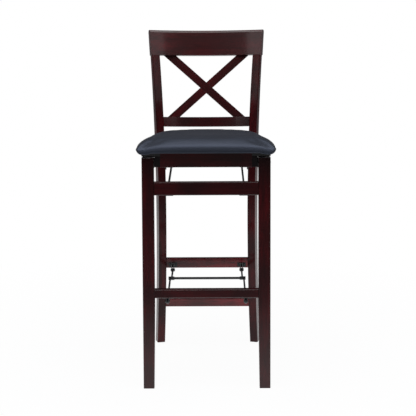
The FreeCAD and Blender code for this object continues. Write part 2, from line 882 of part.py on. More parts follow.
def stretcher_back(height):
    """Y of the leaning back face of the front upper stretcher at a height."""
    return f"(({height}) * {LEAN} + Sizes.upper_stretcher_thick / cos(Sizes.leg_lean))"


def link_bracket(name, side):
    """Clevis on the back face of the front upper stretcher, reaching just below its lower edge."""
    y, z = LINK_FRONT
    low = f"({UPPER_STRETCHER_BOTTOM} - Sizes.link_bracket_drop)"
    high = f"({low} + Sizes.link_bracket_height)"
    top = f"({z} + {REACH})"
    return clevis(
        f"link_front_bracket_{name}",
        line_at(side, "Sizes.strap_line"),
        [
            (stretcher_back(low), low),
            (f"{stretcher_back(low)} + Sizes.ear_thick", low),
            (f"{stretcher_back(high)} + Sizes.ear_thick", high),
            (stretcher_back(high), high),
        ],
        [
            (stretcher_back(low), low),
            (f"{stretcher_back(low)} + {REACH}", low),
            (f"{y} + {REACH}", f"{z} - {CHAMFER}"),
            (f"{y} + {REACH}", f"{z} + {CHAMFER}"),
            (f"{y} + {CHAMFER}", top),
            (f"{stretcher_back(top)} + Sizes.screw_end_gap", top),
            (f"{stretcher_back(high)} + Sizes.screw_end_gap", high),
            (stretcher_back(high), high),
        ],
    )


LEG_LEAN = math.radians(value("Sizes.leg_lean"))
rear_bracket_screws = []
footrest_bracket_screws = []
link_bracket_screws = []
for name, side in SIDES:
    for number, way in enumerate((-1, 1)):
        spread = f"{way} * {SCREW_SPREAD}"
        rear_bracket_screws.append(
            (
                f"spreader_rear_screw_{name}_{number}",
                (
                    f"{line_at(side, 'Sizes.strap_line')} + {spread}",
                    f"{REAR_UPPER_FACE} - Sizes.ear_thick",
                    f"{SPREADER_REAR[1]} + Sizes.bracket_height",
                ),
                (0, 1, 0),
            )
        )
        footrest_bracket_screws.append(
            (
                f"spreader_front_screw_{name}_{number}",
                (
                    f"{line_at(side, FRONT_ARM_LINE)} + {spread}",
                    "Sizes.spreader_front_back",
                    "Sizes.footrest_bottom - Sizes.ear_thick",
                ),
                (0, 0, 1),
            )
        )
        height = f"({UPPER_STRETCHER_BOTTOM} + {REACH})"
        link_bracket_screws.append(
            (
                f"link_front_screw_{name}_{number}",
                (
                    f"{line_at(side, 'Sizes.strap_line')} + {spread}",
                    f"{stretcher_back(height)} + Sizes.ear_thick",
                    height,
                ),
                (0, -math.cos(LEG_LEAN), math.sin(LEG_LEAN)),
            )
        )


def bored_for(label, board, screws):
    return drilled(label, board, [screw_bore(start, along) for _, start, along in screws])


keep(
    bored_for("rear_upper_stretcher", rear_upper, rear_bracket_screws),
    bored_for("footrest_rail", footrest, footrest_bracket_screws),
    bored_for("front_upper_stretcher", upper_stretcher, link_bracket_screws),
)
for label, make, screws, line, pivot in (
    ("spreader_rear_bracket", rear_bracket, rear_bracket_screws, "Sizes.strap_line", SPREADER_REAR),
    ("spreader_front_bracket", footrest_bracket, footrest_bracket_screws, FRONT_ARM_LINE, SPREADER_FRONT),
    ("link_front_bracket", link_bracket, link_bracket_screws, "Sizes.strap_line", LINK_FRONT),
):
    for name, side in SIDES:
        own = [screw_bore(start, along) for spot, start, along in screws if f"_{name}_" in spot]
        own.append(neck_bore(side, f"{line} + Sizes.bracket_width / 2", pivot, "Sizes.bracket_width"))
        bracket = make(name, side)
        bracket.Label = bracket.Label + "_blank"
        keep(drilled(f"{label}_{name}", bracket, own))
    keep(group(label + "_screws", [screw(*spot) for spot in screws]))

for label, line, pivot in (
    ("spreader_rear_pins", "Sizes.strap_line", SPREADER_REAR),
    ("spreader_front_pins", FRONT_ARM_LINE, SPREADER_FRONT),
    ("link_front_pins", "Sizes.strap_line", LINK_FRONT),
):
    keep(group(label, [clevis_pin(f"{label}_{name}", line_at(side, line), pivot) for name, side in SIDES]))

# Seat hinge plates: steel, bent to lie on the canted inner face of each post and reach forward to the
# pivots.
BEND_BACK = "(Sizes.post_setback + Sizes.plate_bend)"
PLATE_END = "(Sizes.post_setback + Sizes.plate_reach)"
PLATE_BOTTOM = f"({LINK_REAR_HEIGHT} + Sizes.plate_lift)"
PLATE_TOP = "(Sizes.seat_pivot_height - Sizes.plate_top_drop)"
COS_CANT = "cos(Sizes.post_cant)"
SIN_CANT = "sin(Sizes.post_cant)"
EYE = "Sizes.strap_width"


def post_inside(y):
    """X of a post's inner face at a place in depth."""
    return f"({WAIST_X} + ({y} - Sizes.post_setback) * {CANT})"


WEB_OUTSIDE = post_inside(BEND_BACK)
WEB_INSIDE = f"({WEB_OUTSIDE} - Sizes.plate_thick)"
INNER_BEND = f"({BEND_BACK} + Sizes.plate_thick * (1 / {COS_CANT} - 1) / {CANT})"


def plate_screws(name, side):
    """Two screws through the leaf, square to the canted face."""
    y = f"(({BEND_BACK} + {PLATE_END}) / 2)"
    out = math.radians(value("Sizes.post_cant"))
    along = (side * math.cos(out), -math.sin(out), 0)
    low = f"{PLATE_BOTTOM} + Sizes.plate_screw_inset"
    high = f"{PLATE_TOP} - Sizes.plate_screw_inset"
    spots = []
    for number, height in enumerate((low, high)):
        start = (
            f"{side} * ({post_inside(y)} - Sizes.plate_thick * {COS_CANT})",
            f"{y} + Sizes.plate_thick * {SIN_CANT}",
            height,
        )
        spots.append((f"hinge_plate_screw_{name}_{number}", start, along))
    return spots


def hinge_plate(name, side):
    plan = plan_plate(
        f"hinge_plate_{name}_plan",
        f"{LINK_REAR_HEIGHT} - 2 * {EYE}",
        f"Sizes.seat_pivot_height - {LINK_REAR_HEIGHT} + 4 * {EYE}",
        [
            (f"{side} * {WEB_OUTSIDE}", f"Sizes.seat_pivot_back - 2 * {EYE}"),
            (f"{side} * {WEB_OUTSIDE}", BEND_BACK),
            (f"{side} * {post_inside(PLATE_END)}", PLATE_END),
            (
                f"{side} * ({post_inside(PLATE_END)} - Sizes.plate_thick * {COS_CANT})",
                f"{PLATE_END} + Sizes.plate_thick * {SIN_CANT}",
            ),
            (f"{side} * {WEB_INSIDE}", INNER_BEND),
            (f"{side} * {WEB_INSIDE}", f"Sizes.seat_pivot_back - 2 * {EYE}"),
        ],
    )
    y, z = "Sizes.seat_pivot_back", "Sizes.seat_pivot_height"
    low_y, low_z = LINK_REAR
    outside = f"({PLATE_END} + Sizes.plate_thick)"
    profile = side_plate(
        f"hinge_plate_{name}_profile",
        f"{side} * {WEB_OUTSIDE} - 2 * {EYE}",
        f"4 * {EYE}",
        [
            (y, f"{z} + {EYE}", EYE),
            (f"{y} - {EYE}", z),
            (f"{low_y} - {EYE}", low_z, EYE),
            (low_y, f"{low_z} - {EYE}"),
            (BEND_BACK, PLATE_BOTTOM),
            (outside, PLATE_BOTTOM),
            (outside, PLATE_TOP),
            (BEND_BACK, PLATE_TOP),
        ],
    )
    return common(f"seat_hinge_plate_{name}_blank", plan, profile)


hinge_screws = {name: plate_screws(name, side) for name, side in SIDES}
for name, side in SIDES:
    keep(bored_for(f"rear_post_{name}", posts[name], hinge_screws[name]))
    bores = [screw_bore(start, along) for _, start, along in hinge_screws[name]]
    for pivot in (("Sizes.seat_pivot_back", "Sizes.seat_pivot_height"), LINK_REAR):
        bores.append(neck_bore(side, WEB_OUTSIDE, pivot, "Sizes.plate_thick"))
    keep(drilled(f"seat_hinge_plate_{name}", hinge_plate(name, side), bores))
keep(group("hinge_plate_screws", [screw(*spot) for spots in hinge_screws.values() for spot in spots]))


# Pivot hardware: heads, collars and nuts in one with their shanks.
HEAD_RADIUS = "Sizes.bolt_head_diameter / 2"
NUT_RADIUS = "(Sizes.pin_diameter / 2 + Sizes.nut_wall)"


def seat_pin(name, side):
    """From outside the side rail, through it and a collar, to a nut inside the hinge plate."""
    outside = f"({RAIL_OUTSIDE} + Sizes.strap_gap)"
    return stepped(
        f"seat_pin_{name}",
        (
            f"{side} * ({outside} + Sizes.bolt_head_height)",
            "Sizes.seat_pivot_back",
            "Sizes.seat_pivot_height",
        ),
        (-side, 0, 0),
        [
            ("Sizes.bolt_head_height", HEAD_RADIUS, TWELVE),
            (f"({outside} - {RAIL_INSIDE} + Sizes.strap_gap)", PIN_RADIUS, ROUND),
            (f"({RAIL_INSIDE} - Sizes.strap_gap - {WEB_OUTSIDE})", HEAD_RADIUS, TWELVE),
            ("Sizes.plate_thick", PIN_RADIUS, TWELVE),
            ("Sizes.bolt_head_height", NUT_RADIUS, SIX),
        ],
    )


def link_pin(name, side):
    """From outside the hinge plate, through it and a sleeve, to the upper link and a nut."""
    return stepped(
        f"link_rear_pin_{name}",
        (f"{side} * ({WEB_OUTSIDE} + Sizes.head_height)", *LINK_REAR),
        (-side, 0, 0),
        [
            ("Sizes.head_height", NUT_RADIUS, TWELVE),
            ("Sizes.plate_thick", PIN_RADIUS, TWELVE),
            (f"({WEB_INSIDE} - {STRAP_OUTSIDE} - Sizes.strap_gap)", NUT_RADIUS, TWELVE),
            ("(Sizes.strap_thick + 2 * Sizes.strap_gap)", PIN_RADIUS, ROUND),
            ("Sizes.bolt_head_height", NUT_RADIUS, SIX),
        ],
    )


def leg_bolt(name, side):
    """Head sunk in the leg, shank through the leg and into the side rail."""
    return stepped(
        f"leg_bolt_{name}",
        (f"{side} * ({HALF_WIDTH} - Sizes.bolt_head_sunk)", "Sizes.leg_pivot_back", LEG_PIVOT_HEIGHT),
        (-side, 0, 0),
        [
            ("Sizes.bolt_head_height", HEAD_RADIUS, TWELVE),
            ("(Sizes.leg_face - Sizes.bolt_head_sunk - Sizes.bolt_head_height)", PIN_RADIUS, TWELVE),
            ("(Sizes.rail_gap - Sizes.strap_gap)", NUT_RADIUS, TWELVE),
            ("Sizes.rail_thick", PIN_RADIUS, ROUND),
        ],
    )


for label, make in (
    ("seat_pivot_pins", seat_pin),
    ("link_rear_pins", link_pin),
    ("front_pivot_bolts", leg_bolt),
):
    keep(group(label, [make(name, side) for name, side in SIDES]))


# Flat steel bars with rounded ends, drawn along +Y from the first pivot and then turned to the second.
def strap(label, line, first, second, holes, far_eye=EYE + " / 2"):
    """holes are the bore radii at the two pivots; far_eye is the radius of the second end."""
    run_y = f"(({second[0]}) - ({first[0]}))"
    run_z = f"(({second[1]}) - ({first[1]}))"
    length = f"sqrt({run_y} * {run_y} + {run_z} * {run_z})"
    half = "Sizes.strap_width / 2"
    body = side_plate(
        label,
        "0 - Sizes.strap_thick / 2",
        "Sizes.strap_thick",
        [("0", f"0 - {half}"), (length, f"0 - {half}"), (length, half), ("0", half)],
    )
    for y, radius in (("0", half), (length, far_eye)):
        end = new_sketch(body, "YZ_Plane", "0 - Sizes.strap_thick / 2")
        circle(end, y, "0", radius)
        pad(body, end, "Sizes.strap_thick")
    for y, radius in zip(("0", length), holes):
        bore = new_sketch(body, "YZ_Plane")
        circle(bore, y, "0", radius)
        cut_through(body, bore)
    turn = math.degrees(math.atan2(value(run_z), value(run_y)))
    body.Placement = FreeCAD.Placement(
        FreeCAD.Vector(value(line), value(first[0]), value(first[1])),
        FreeCAD.Rotation(FreeCAD.Vector(1, 0, 0), turn),
    )
    return body


ROD_RADIUS = "(Sizes.rod_diameter / 2)"
for name, side in SIDES:
    near = line_at(side, "Sizes.strap_line")
    far = line_at(side, FRONT_ARM_LINE)
    keep(
        strap(f"upper_link_{name}", near, LINK_REAR, LINK_FRONT, (HOLE_RADIUS, HOLE_RADIUS)),
        strap(f"spreader_rear_arm_{name}", near, SPREADER_REAR, SPREADER_JOINT, (HOLE_RADIUS, ROD_RADIUS)),
        strap(
            f"spreader_front_arm_{name}",
            far,
            SPREADER_JOINT,
            SPREADER_FRONT,
            (f"{ROD_RADIUS} + Sizes.pin_clearance", f"{PIN_RADIUS} + Sizes.eye_play"),
            f"({PIN_RADIUS} + Sizes.eye_play + Sizes.eye_wall)",
        ),
    )

COLLAR_RADIUS = f"({ROD_RADIUS} + Sizes.collar_wall)"
ROD_OUTER = f"({FRONT_ARM_LINE} + Sizes.strap_thick / 2 + Sizes.strap_gap)"
keep(
    stepped(
        "cross_rod",
        (f"0 - {ROD_OUTER} - Sizes.bolt_head_height", *SPREADER_JOINT),
        (1, 0, 0),
        [
            ("Sizes.bolt_head_height", COLLAR_RADIUS, TWELVE),
            (f"({ROD_OUTER} - {STRAP_INSIDE})", ROD_RADIUS, ROUND),
            ("Sizes.collar_length", COLLAR_RADIUS, TWELVE),
            (f"(2 * {STRAP_INSIDE} - 2 * Sizes.collar_length)", ROD_RADIUS, ROUND),
            ("Sizes.collar_length", COLLAR_RADIUS, TWELVE),
            (f"({ROD_OUTER} - {STRAP_INSIDE})", ROD_RADIUS, ROUND),
            ("Sizes.bolt_head_height", COLLAR_RADIUS, TWELVE),
        ],
    )
)


# Seat frame: two side rails, an apron between their front ends and a rear rail.
RAIL_END = "(Sizes.seat_pivot_back + Sizes.rail_overhang)"
END_ROUND = "Sizes.rail_end_round"


def seat_side_rail(name, side):
    start = RAIL_INSIDE if side > 0 else f"(0 - {RAIL_OUTSIDE})"
    body = side_plate(
        f"seat_side_rail_{name}",
        start,
        "Sizes.rail_thick",
        [
            (APRON_FRONT, RAIL_BOTTOM),
            (f"{RAIL_END} - {END_ROUND}", RAIL_BOTTOM, END_ROUND),
            (RAIL_END, f"{RAIL_BOTTOM} + {END_ROUND}"),
            (RAIL_END, RAIL_TOP),
            (APRON_FRONT, RAIL_TOP),
        ],
        [
            ("Sizes.seat_pivot_back", "Sizes.seat_pivot_height", HOLE_RADIUS),
            ("Sizes.leg_pivot_back", LEG_PIVOT_HEIGHT, HOLE_RADIUS),
        ],
    )
    return body


def seat_cross_rail(label, front, thick, bottom, top):
    body = side_plate(
        label,
        f"0 - {RAIL_INSIDE}",
        f"2 * {RAIL_INSIDE}",
        [
            (front, bottom),
            (f"{front} + {thick}", bottom),
            (f"{front} + {thick}", top),
            (front, top),
        ],
    )
    round_edges(
        body,
        "Sizes.edge_round / 2",
        lambda edge: abs(direction(edge).x) > 0.99 and edge.BoundBox.ZMax < value(bottom) + 1,
    )
    return body


for name, side in SIDES:
    keep(seat_side_rail(name, side))
REAR_RAIL_FRONT = "(Sizes.seat_pivot_back - Sizes.rear_rail_setback - Sizes.rail_thick)"
APRON_BOTTOM = f"({RAIL_BOTTOM} - Sizes.apron_drop)"
REAR_RAIL_BOTTOM = f"({RAIL_BOTTOM} + Sizes.rear_rail_lift)"
keep(
    seat_cross_rail("seat_apron", APRON_FRONT, "Sizes.apron_thick", APRON_BOTTOM, BOARD_TOP),
    seat_cross_rail("seat_rear_rail", REAR_RAIL_FRONT, "Sizes.rail_thick", REAR_RAIL_BOTTOM, RAIL_TOP),
)

# Seat board: lies on the rails, wide enough in front to cover the leg tops, notched round the apron.
APRON_BACK = f"({APRON_FRONT} + Sizes.apron_thick)"
BOARD_REAR = f"({APRON_FRONT} + Sizes.board_depth)"
REAR_HALF = "(Sizes.board_rear_width / 2)"
keep(
    plan_plate(
        "seat_board",
        RAIL_TOP,
        "Sizes.board_thick",
        [
            (f"0 - {HALF_WIDTH}", APRON_FRONT),
            (f"0 - {RAIL_INSIDE}", APRON_FRONT),
            (f"0 - {RAIL_INSIDE}", APRON_BACK),
            (RAIL_INSIDE, APRON_BACK),
            (RAIL_INSIDE, APRON_FRONT),
            (HALF_WIDTH, APRON_FRONT, "Sizes.board_side_bow"),
            (REAR_HALF, BOARD_REAR),
            (f"0 - {REAR_HALF}", BOARD_REAR, "Sizes.board_side_bow"),
        ],
    )
)


# Seat cushion: flat below, full and flat-topped above, narrowing to the back between rounded corners.
# Each station is its share of the depth from the front edge, of the half width and of the thickness.
STATIONS = [
    (0, 0.955, 0.4),
    (0.015, 0.975, 0.53),
    (0.05, 0.993, 0.66),
    (0.12, 1, 0.78),
    (0.2, 0.993, 0.88),
    (0.3, 0.975, 0.96),
    (0.42, 0.95, 1),
    (0.54, 0.915, 0.96),
    (0.65, 0.875, 0.87),
    (0.75, 0.825, 0.75),
    (0.84, 0.76, 0.6),
    (0.92, 0.67, 0.46),
    (0.97, 0.59, 0.36),
    (1, 0.5, 0.28),
]
FULLNESS = 3.2
ARCH_STEPS = 20


def cushion_section(depth_share, width_share, height_share):
    """Flat below and tucked in to the board; above, a full, flat-topped arch drawn in short chords."""
    half = value("Sizes.cushion_width") / 2 * width_share
    top = value("Sizes.cushion_thick") * height_share
    y = value("Sizes.cushion_front") + depth_share * value("Sizes.cushion_depth")
    bottom = value(f"{BOARD_TOP} + Sizes.cushion_gap")
    edge = min(value("Sizes.cushion_edge"), top / 2)
    tuck = half - value("Sizes.cushion_tuck")

    def spot(x, z):
        return FreeCAD.Vector(x, y, bottom + z)

    outline_spots = [spot(-tuck, 0), spot(tuck, 0)]
    for step in range(ARCH_STEPS + 1):
        turn = math.pi * step / ARCH_STEPS
        out = math.copysign(abs(math.cos(turn)) ** (2 / FULLNESS), math.cos(turn))
        up = abs(math.sin(turn)) ** (2 / FULLNESS)
        outline_spots.append(spot(half * out, edge + (top - edge) * up))
    return Part.makePolygon(outline_spots + outline_spots[:1])


def seat_cushion():
    piece = doc.addObject("Part::Feature", "seat_cushion")
    piece.Label = "seat_cushion"
    piece.Shape = Part.makeLoft([cushion_section(*station) for station in STATIONS], True, True)
    return piece


keep(seat_cushion())


# Stand the stool over the origin, check every piece and write it out.
doc.recompute()
broken = [thing.Label for thing in doc.Objects if "Invalid" in thing.State or "Error" in thing.State]
if broken:
    raise RuntimeError(f"failed objects: {broken}")
whole = Part.Compound([piece.Shape for piece in nodes]).optimalBoundingBox()
centring = FreeCAD.Placement(
    FreeCAD.Vector(-(whole.XMin + whole.XMax) / 2, -(whole.YMin + whole.YMax) / 2, -whole.ZMin),
    FreeCAD.Rotation(),
)
for piece in nodes:
    for axis in "xyz":
        piece.setExpression("Placement.Base." + axis, None)
    piece.Placement = centring.multiply(piece.Placement)
doc.recompute()
os.makedirs("parts", exist_ok=True)
for piece in nodes:
    shape = piece.Shape
    if shape.isNull() or not shape.isValid():
        raise RuntimeError(f"{piece.Label} has no sound shape")
    shape.exportStep(f"parts/{piece.Label}.step")
size = Part.Compound([piece.Shape for piece in nodes]).optimalBoundingBox()
print(f"{len(nodes)} nodes, {size.XLength:.1f} x {size.YLength:.1f} x {size.ZLength:.1f} mm")
print(f"moved by {centring.Base.x:.4f}, {centring.Base.y:.4f}, {centring.Base.z:.4f}")
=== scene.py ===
import json
import math

import bmesh
import bpy
from mathutils import Euler, Matrix, Vector


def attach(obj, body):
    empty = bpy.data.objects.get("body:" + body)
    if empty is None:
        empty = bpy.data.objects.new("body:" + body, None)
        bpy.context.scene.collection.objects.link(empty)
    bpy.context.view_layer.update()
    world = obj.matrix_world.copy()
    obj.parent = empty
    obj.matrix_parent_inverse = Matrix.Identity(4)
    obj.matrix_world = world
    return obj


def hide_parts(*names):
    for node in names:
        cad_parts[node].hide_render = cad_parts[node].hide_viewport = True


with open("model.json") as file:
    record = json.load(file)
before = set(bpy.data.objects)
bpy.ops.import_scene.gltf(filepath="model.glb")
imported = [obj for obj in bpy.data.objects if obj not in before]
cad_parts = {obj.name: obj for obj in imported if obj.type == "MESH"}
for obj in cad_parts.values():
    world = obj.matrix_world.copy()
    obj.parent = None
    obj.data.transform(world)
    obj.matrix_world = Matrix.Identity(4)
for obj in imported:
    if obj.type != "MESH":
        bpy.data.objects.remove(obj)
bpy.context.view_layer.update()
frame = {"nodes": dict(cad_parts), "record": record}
nodes = frame["nodes"]


# The wooden frame: planed hardwood members, stained a dark cherry red and sprayed with a satin lacquer.
# The grain runs along each member, the stain lies darker in the pores and differs from one kind of member
# to the next, and the arrises are eased by hand, so they catch a thin line of light. Some colour is
# painted light and shade: the rear stretchers' redder, lighter stain is painted light, and the darker
# leg tops and seat-rail ends are painted shade.
def paint(code):
    """The linear colour of an sRGB hex code."""
    parts = [int(code[at : at + 2], 16) / 255 for at in (1, 3, 5)]
    return [part / 12.92 if part <= 0.04045 else ((part + 0.055) / 1.055) ** 2.4 for part in parts] + [1]


def add(tree, kind, inputs=None, **settings):
    """Adds a shader node; inputs gives its sockets values, or other nodes' outputs to link."""
    node = tree.nodes.new("ShaderNode" + kind)
    for name, setting in settings.items():
        setattr(node, name, setting)
    for socket, given in (inputs or {}).items():
        if isinstance(given, bpy.types.NodeSocket):
            tree.links.new(given, node.inputs[socket])
        else:
            node.inputs[socket].default_value = given
    return node


def new_material(name):
    """An empty node material, with its tree and its output node."""
    material = bpy.data.materials.new(name)
    material.use_nodes = True
    material.node_tree.nodes.clear()
    return material, material.node_tree, add(material.node_tree, "OutputMaterial")


def noise(tree, vector, scale, detail, distortion=0):
    """A noise texture's value, from 0 to 1."""
    inputs = {"Vector": vector, "Scale": scale, "Detail": detail, "Distortion": distortion}
    return add(tree, "TexNoise", inputs).outputs["Fac"]


def spread(tree, value, low, high, start=0, end=1):
    """The value carried from the range start to end onto the range low to high."""
    inputs = {"Value": value, "From Min": start, "From Max": end, "To Min": low, "To Max": high}
    return add(tree, "MapRange", inputs).outputs["Result"]


def blend(tree, amount, under, over):
    """The colour under with an amount of the colour over."""
    return add(tree, "MixRGB", {"Fac": amount, "Color1": under, "Color2": over}).outputs["Color"]


def between(tree, value, first, second):
    """A ramp from the hex colour first to second as the value goes from 0 to 1."""
    ramp = add(tree, "ValToRGB", {"Fac": value})
    ramp.color_ramp.elements[0].color = paint(first)
    ramp.color_ramp.elements[1].color = paint(second)
    return ramp


def relief(tree, height, strength, depth, normal=None):
    """The normal after a bump of a depth in metres, over another normal if one is given."""
    inputs = {"Height": height, "Strength": strength, "Distance": depth}
    if normal is not None:
        inputs["Normal"] = normal
    return add(tree, "Bump", inputs).outputs["Normal"]


def rounded(tree, radius):
    """The normal with all the piece's edges rounded to a radius."""
    return add(tree, "Bevel", {"Radius": radius}, samples=4).outputs["Normal"]


def surface(tree, output, inputs):
    """Ends a material in the principled shader."""
    shader = add(tree, "BsdfPrincipled", inputs)
    tree.links.new(shader.outputs["BSDF"], output.inputs["Surface"])


CLOUDS_PER_METRE = 9
FIGURE_PER_METRE = 54
PORES_PER_METRE = 420
PORE_DEPTH = 0.0004
GRAIN_STRETCH = 0.05
EASED_EDGE = 0.0016
# How far and how strongly the painted shade from the seat darkens a piece upwards.
PAINTED_SHADE_RISE = 0.12
PAINTED_SHADE_SHARE = 0.7


def stained_cherry(name, turn, deep=0.35, light="#45090f", shine=0.22, coat=0.35, end=None, above=None):
    """Cherry stain under satin lacquer. The angles in turn bring the X axis onto the grain, deep is how
    much of the darker stain a piece has taken up, light is the colour between its darker streaks, and
    shine and coat are the lacquer's. In front of the Y value end the piece is painted near black, as
    painted shade, and from the height above upwards it darkens over a hand's breadth, as painted shade
    from the seat."""
    material, tree, output = new_material(name)
    place = add(tree, "TexCoord").outputs["Object"]
    turned = add(tree, "Mapping", {"Vector": place, "Rotation": turn}, vector_type="TEXTURE")
    along = turned.outputs["Vector"]
    drawn = add(tree, "Mapping", {"Vector": along, "Scale": (GRAIN_STRETCH, 1, 1)}).outputs["Vector"]
    figure = noise(tree, drawn, FIGURE_PER_METRE, 5, 0.6)
    pores = noise(tree, drawn, PORES_PER_METRE, 2)
    cloud = noise(tree, along, CLOUDS_PER_METRE, 2)
    streaks = between(tree, figure, "#230508", light)
    streaks.color_ramp.elements[0].position = 0.3
    streaks.color_ramp.elements[1].position = 0.72
    stain = blend(tree, spread(tree, pores, 0, 1, 0.5, 0.8), streaks.outputs["Color"], paint("#0f0203"))
    stain = blend(tree, cloud, stain, paint("#2c0709"))
    stain = blend(tree, spread(tree, cloud, 0, deep * 2, 0.38, 0.66), stain, paint("#140304"))
    # Painted shade: in front of the Y value end the piece is painted near black, standing in for shadow.
    if end is not None:
        where = add(tree, "SeparateXYZ", {0: place})
        painted_shade_at_end = add(tree, "Math", {0: where.outputs["Y"], 1: end}, operation="LESS_THAN")
        stain = blend(tree, painted_shade_at_end.outputs[0], stain, paint("#0a0304"))
    # Painted shade: the piece darkens from the height above upwards, as if shaded by the seat.
    if above is not None:
        where = add(tree, "SeparateXYZ", {0: place})
        rising = spread(tree, where.outputs["Z"], 0, PAINTED_SHADE_SHARE, above, above + PAINTED_SHADE_RISE)
        stain = blend(tree, rising, stain, paint("#140304"))
    surface(
        tree,
        output,
        {
            "Base Color": stain,
            "Roughness": spread(tree, cloud, 0.3, 0.42),
            "IOR": 1.5,
            "Specular IOR Level": shine,
            "Coat Weight": coat,
            "Coat Roughness": 0.1,
            "Normal": relief(tree, pores, 0.3, PORE_DEPTH, rounded(tree, EASED_EDGE)),
        },
    )
    return material


def finish_node(name, material):
    """Gives a CAD node one material."""
    mesh = nodes[name].data
    mesh.materials.clear()
    mesh.materials.append(material)


SLAT_GRAIN_RISE = 0.207
SLAT_GRAIN_RUN = 0.222
SLAT_GRAIN = math.atan2(SLAT_GRAIN_RISE, SLAT_GRAIN_RUN)
# Painted shade: the seat rails' front ends go near black, and the front legs darken towards their tops
# under the seat.
SEAT_RAIL_SHADED_END = -0.22
LEG_SHADE_FROM = 0.56
UPRIGHT = (0, math.radians(90), 0)
FRONT_TO_BACK = (0, 0, math.radians(90))
ACROSS = (0, 0, 0)
FALLING = (0, SLAT_GRAIN, 0)
RISING = (0, -SLAT_GRAIN, 0)

leg_wood = stained_cherry("cherry_stain_upright_painted_shade", UPRIGHT, 0.25, light="#520b12", above=LEG_SHADE_FROM)
level_wood = stained_cherry("cherry_stain_level", ACROSS)
seat_rail_wood = stained_cherry("cherry_stain_seat_rail_painted_shade", FRONT_TO_BACK, end=SEAT_RAIL_SHADED_END)
falling_wood = stained_cherry("cherry_stain_slat_falling", FALLING, 0.2)
rising_wood = stained_cherry("cherry_stain_slat_rising", RISING, 0.1, light="#5c0e15")
post_wood = stained_cherry("cherry_stain_post", UPRIGHT, 0.3, light="#5a0e15", shine=0.11, coat=0.16)
crest_wood = stained_cherry("cherry_stain_crest", ACROSS, 0.08, light="#531117", shine=0.34, coat=0.25)
# Painted light: the rear stretchers take a redder, lighter copy of the stain for the extra light they
# catch.
lit_redder_wood = stained_cherry("cherry_stain_redder_painted_light", ACROSS, 0.1, light="#a0202c")
for material, names in (
    (leg_wood, ("front_leg_left", "front_leg_right")),
    (level_wood, ("front_upper_stretcher", "footrest_rail", "lower_back_rail")),
    (level_wood, ("seat_apron", "seat_rear_rail")),
    (seat_rail_wood, ("seat_side_rail_left", "seat_side_rail_right")),
    (falling_wood, ("back_slat_front",)),
    (rising_wood, ("back_slat_back",)),
    (post_wood, ("rear_post_left", "rear_post_right")),
    (crest_wood, ("crest_rail",)),
    (lit_redder_wood, ("rear_upper_stretcher", "rear_lower_stretcher")),
):
    for name in names:
        finish_node(name, material)


# The folding hardware: flat bar, pressed plates, pins and screws of mild steel in black enamel,
# dipped, so the film is a little uneven and takes a soft shine. The flat links are duller.
ENAMEL_RIPPLES_PER_METRE = 260
ENAMEL_RIPPLE = 0.0002
ENAMELLED_EDGE = 0.0004
STEEL_SLOT = "black_steel"


def black_enamel(name, shine):
    """Black enamel on steel."""
    material, tree, output = new_material(name)
    ripple = noise(tree, add(tree, "TexCoord").outputs["Object"], ENAMEL_RIPPLES_PER_METRE, 3)
    surface(
        tree,
        output,
        {
            "Base Color": between(tree, ripple, "#0d0f12", "#1c2024").outputs["Color"],
            "Roughness": spread(tree, ripple, 0.3, 0.5),
            "IOR": 1.52,
            "Specular IOR Level": shine,
            "Normal": relief(tree, ripple, 0.15, ENAMEL_RIPPLE, rounded(tree, ENAMELLED_EDGE)),
        },
    )
    return material


enamel = black_enamel("black_enamel_steel", 0.5)
flat_enamel = black_enamel("black_enamel_strap", 0.15)
for part in frame["record"]["subparts"]:
    if part["material_slot"] == STEEL_SLOT:
        finish_node(part["node"], flat_enamel if part["node"].startswith("upper_link") else enamel)


# The seat board: plywood painted matt black on its edges and underside, seen as a dark line under the
# cushion and above the leg tops.
BOARD_FIBRES_PER_METRE = 300
BOARD_FIBRE = 0.0003


def matt_black(name):
    """A dull black over a fine fibre."""
    material, tree, output = new_material(name)
    fibre = noise(tree, add(tree, "TexCoord").outputs["Object"], BOARD_FIBRES_PER_METRE, 4)
    surface(
        tree,
        output,
        {
            "Base Color": between(tree, fibre, "#050506", "#0d0c0f").outputs["Color"],
            "Roughness": 0.7,
            "IOR": 1.5,
            "Normal": relief(tree, fibre, 0.3, BOARD_FIBRE),
        },
    )
    return material


finish_node("seat_board", matt_black("matt_black_board"))


# Black blocks and washers: a small black block under the board behind each front leg, and a black washer on
# each front pivot, between the leg and the seat's side rail. They are painted shade: dark pieces put in the
# gaps by the front legs, where the shade lies, to keep those gaps black.
SIDES = (("left", -1), ("right", 1))
SHADE_BLOCK = (0.0374, 0.014, 0.0075)
SHADE_BLOCK_EDGE = 0.001
SHADE_BLOCK_BEHIND_PIVOT = 0.0245
SHADE_BLOCK_OUT = 0.1784
BOARD_UNDERSIDE = 0.728
WASHER_RADIUS = 0.016
WASHER_BORE = 0.0057
WASHER_THICK = 0.0013
WASHER_OUT = 0.1609
WASHER_SEGMENTS = 48
FRONT_PIVOT_BACK = -0.2078
FRONT_PIVOT_HEIGHT = 0.706


def as_mesh(name, shape):
    """Turns an edited shape into a mesh."""
    mesh = bpy.data.meshes.new(name)
    shape.to_mesh(mesh)
    shape.free()
    return mesh


def as_object(name, mesh):
    """Puts a mesh into the scene."""
    piece = bpy.data.objects.new(name, mesh)
    bpy.context.scene.collection.objects.link(piece)
    return piece


def trim(name, mesh, material, body):
    """Adds a piece of one material, which rides on a body."""
    piece = as_object(name, mesh)
    piece.data.materials.append(material)
    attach(piece, body)


def block(name, centre, size, edge):
    """A box of a size with rounded edges."""
    shape = bmesh.new()
    bmesh.ops.create_cube(shape, size=1)
    bmesh.ops.scale(shape, vec=size, verts=shape.verts)
    bmesh.ops.bevel(
        shape, geom=shape.edges[:], offset=edge, segments=3, profile=0.5, affect="EDGES", clamp_overlap=True
    )
    bmesh.ops.translate(shape, vec=centre, verts=shape.verts)
    return as_mesh(name, shape)


